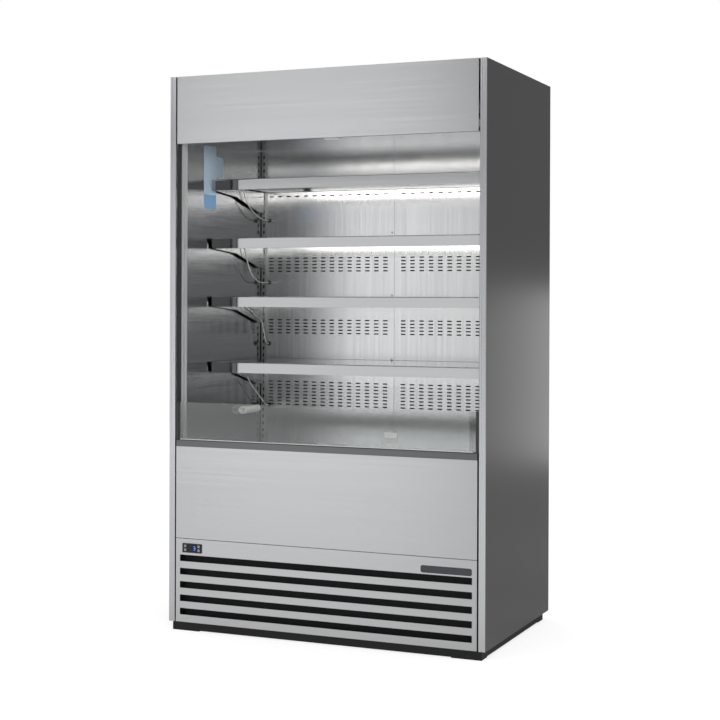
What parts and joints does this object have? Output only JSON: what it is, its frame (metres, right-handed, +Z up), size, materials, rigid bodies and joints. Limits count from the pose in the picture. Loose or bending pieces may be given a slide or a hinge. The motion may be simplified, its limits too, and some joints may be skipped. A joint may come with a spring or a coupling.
{
  "type": "open multideck display fridge",
  "caption": "Upright open-fronted display fridge with lipped shelves, low front glass, stainless fascias, a slotted machine grille and a night curtain.",
  "frame": {"origin": "middle of the cabinet's footprint, on the floor", "axes": "+Z up, +X to the right of a person facing the open front, which faces -Y"},
  "size_m": [1.223, 0.7632, 2.029],
  "materials": {
    "black_steel": "satin black",
    "end_paint": "dark grey satin powder coat",
    "rear_steel": "galvanised sheet",
    "post_aluminium": "brushed",
    "liner_steel": "polished stainless",
    "front_steel": "fine brushed stainless",
    "shelf_steel": "brushed stainless",
    "bracket_steel": "bright stainless",
    "foam": "rigid foam with a thin skin",
    "jamb_plastic": "dark grey",
    "guide_aluminium": "satin",
    "diffuser_plastic": "off-white",
    "lamp": "opal diffuser",
    "lead_plastic": "white",
    "grommet_rubber": "black",
    "glass": "clear float glass",
    "filter_mesh": "matte black mesh",
    "controller_plastic": "black",
    "button_plastic": "dark grey",
    "curtain_cloth": "woven silver-grey",
    "coil_aluminium": "fins",
    "galvanised": "galvanised sheet",
    "fan_plastic": "black",
    "compressor_paint": "gloss black",
    "pan_plastic": "black",
    "copper": "copper tube"
  },
  "bodies": {
    "cabinet": {"base_frame": "black_steel", "machine_deck": "black_steel", "end_panel_left": "end_paint", "end_panel_right": "end_paint", "rear_panel": "rear_steel", "roof_panel": "rear_steel", "corner_post_left": "post_aluminium", "corner_post_right": "post_aluminium", "end_liner_left": "liner_steel", "end_liner_right": "liner_steel", "ceiling_panel": "liner_steel", "back_panel_left": "liner_steel", "back_panel_right": "liner_steel", "deck_pan": "liner_steel", "header_panel": "front_steel", "lower_front_panel": "front_steel", "shelf_brackets": "bracket_steel", "pilasters": "bracket_steel", "insulation": "foam", "insulated_tub": "foam", "side_jambs": "jamb_plastic", "glass_channels": "jamb_plastic", "curtain_guides": "guide_aluminium", "front_rail": "guide_aluminium", "curtain_brackets": "guide_aluminium", "curtain_catch": "guide_aluminium", "air_diffuser": "diffuser_plastic", "header_lamp": "lamp", "lamp_cords": "lead_plastic", "sensor_guard": "lead_plastic", "cord_grommets": "grommet_rubber", "front_glass": "glass", "condenser_filter": "filter_mesh", "evaporator_coil": "coil_aluminium", "condenser_coil": "coil_aluminium", "evaporator_fan_plate": "galvanised", "condenser_fan_shroud": "galvanised", "compressor": "compressor_paint", "condensate_pan": "pan_plastic", "refrigerant_pipes": "copper"},
    "shelf_1": {"shelf_1": "shelf_steel", "shelf_lamp_1": "lamp"},
    "shelf_2": {"shelf_2": "shelf_steel", "shelf_lamp_2": "lamp"},
    "shelf_3": {"shelf_3": "shelf_steel", "shelf_lamp_3": "lamp"},
    "shelf_4": {"shelf_4": "shelf_steel", "shelf_lamp_4": "lamp"},
    "curtain_roller": {"curtain_roller": "curtain_cloth"},
    "curtain_bar": {"curtain_bar": "guide_aluminium", "curtain_fabric": "curtain_cloth"},
    "grille": {"grille_panel": "front_steel", "controller_housing": "controller_plastic"},
    "button_1": {"controller_button_1": "button_plastic"},
    "button_2": {"controller_button_2": "button_plastic"},
    "button_3": {"controller_button_3": "button_plastic"},
    "button_4": {"controller_button_4": "button_plastic"},
    "evaporator_fan": {"evaporator_fan": "fan_plastic"},
    "condenser_fan": {"condenser_fan": "fan_plastic"}
  },
  "joints": [
    {"name": "shelf_1_lift", "type": "slide", "parent": "cabinet", "child": "shelf_1", "axis": [0, 0, 1], "range_m": [0, 0.04]},
    {"name": "shelf_2_lift", "type": "slide", "parent": "cabinet", "child": "shelf_2", "axis": [0, 0, 1], "range_m": [0, 0.04]},
    {"name": "shelf_3_lift", "type": "slide", "parent": "cabinet", "child": "shelf_3", "axis": [0, 0, 1], "range_m": [0, 0.04]},
    {"name": "shelf_4_lift", "type": "slide", "parent": "cabinet", "child": "shelf_4", "axis": [0, 0, 1], "range_m": [0, 0.04]},
    {"name": "curtain_pull", "type": "slide", "parent": "cabinet", "child": "curtain_bar", "axis": [0, 0, -1], "range_m": [0, 1.075], "stiffness_N_per_m": 6, "springref_m": -1.5, "deforming": ["curtain_fabric"]},
    {"name": "curtain_roller_turn", "type": "hinge", "parent": "cabinet", "child": "curtain_roller", "pos_m": [0, -0.3295, 1.87], "axis": [1, 0, 0], "range_deg": [0, 2820]},
    {"name": "grille_lift_off", "type": "slide", "parent": "cabinet", "child": "grille", "axis": [0, -1, 0], "range_m": [0, 0.12]},
    {"name": "evaporator_fan_spin", "type": "hinge", "parent": "cabinet", "child": "evaporator_fan", "pos_m": [0, -0.056, 0.52675], "axis": [0, 1, 0], "continuous": true},
    {"name": "condenser_fan_spin", "type": "hinge", "parent": "cabinet", "child": "condenser_fan", "pos_m": [-0.12, -0.236, 0.16], "axis": [0, 1, 0], "continuous": true},
    {"name": "button_1_press", "type": "slide", "parent": "grille", "child": "button_1", "axis": [0, 1, 0], "range_m": [0, 0.001], "stiffness_N_per_m": 400, "springref_m": -0.0005},
    {"name": "button_2_press", "type": "slide", "parent": "grille", "child": "button_2", "axis": [0, 1, 0], "range_m": [0, 0.001], "stiffness_N_per_m": 400, "springref_m": -0.0005},
    {"name": "button_3_press", "type": "slide", "parent": "grille", "child": "button_3", "axis": [0, 1, 0], "range_m": [0, 0.001], "stiffness_N_per_m": 400, "springref_m": -0.0005},
    {"name": "button_4_press", "type": "slide", "parent": "grille", "child": "button_4", "axis": [0, 1, 0], "range_m": [0, 0.001], "stiffness_N_per_m": 400, "springref_m": -0.0005}
  ],
  "couplings": [
    {"joint": "curtain_roller_turn", "follows": "curtain_pull", "rad_per_m": 45.455}
  ]
}
